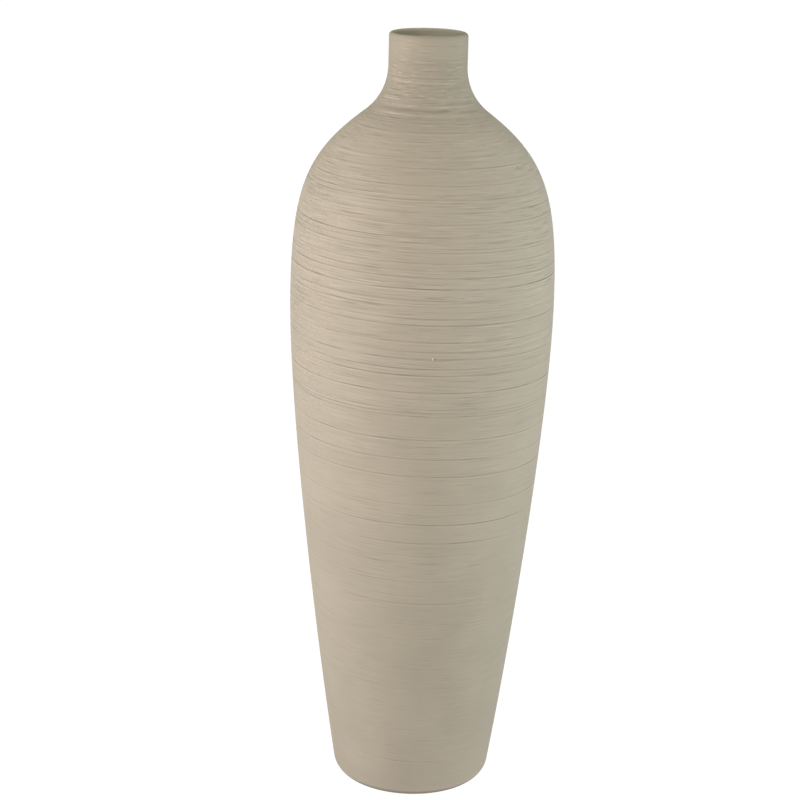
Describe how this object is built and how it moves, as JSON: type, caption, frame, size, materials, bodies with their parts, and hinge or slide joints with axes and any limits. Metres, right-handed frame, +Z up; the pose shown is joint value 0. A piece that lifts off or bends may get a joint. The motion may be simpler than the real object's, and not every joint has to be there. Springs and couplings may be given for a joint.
{
  "type": "ceramic bottle vase",
  "caption": "Tall combed stoneware bottle vase: tapered body, full shoulder, short narrow neck with a rounded lip, glazed inside, felt pads under the base.",
  "frame": {"origin": "middle of the base, at the underside of the felt pads, which is the surface that the vase stands on", "axes": "+Z up along the vase's axis of turning, +X and +Y level, with the pads between the axes"},
  "size_m": [0.2034, 0.2034, 0.6],
  "materials": {
    "combed_clay": "matte",
    "liner_glaze": "satin",
    "felt": "matte"
  },
  "bodies": {
    "root": {"lower_body": "combed_clay", "upper_body": "combed_clay", "neck": "combed_clay", "inner_glaze": "liner_glaze", "felt_pad_1": "felt", "felt_pad_2": "felt", "felt_pad_3": "felt", "felt_pad_4": "felt"}
  },
  "joints": []
}
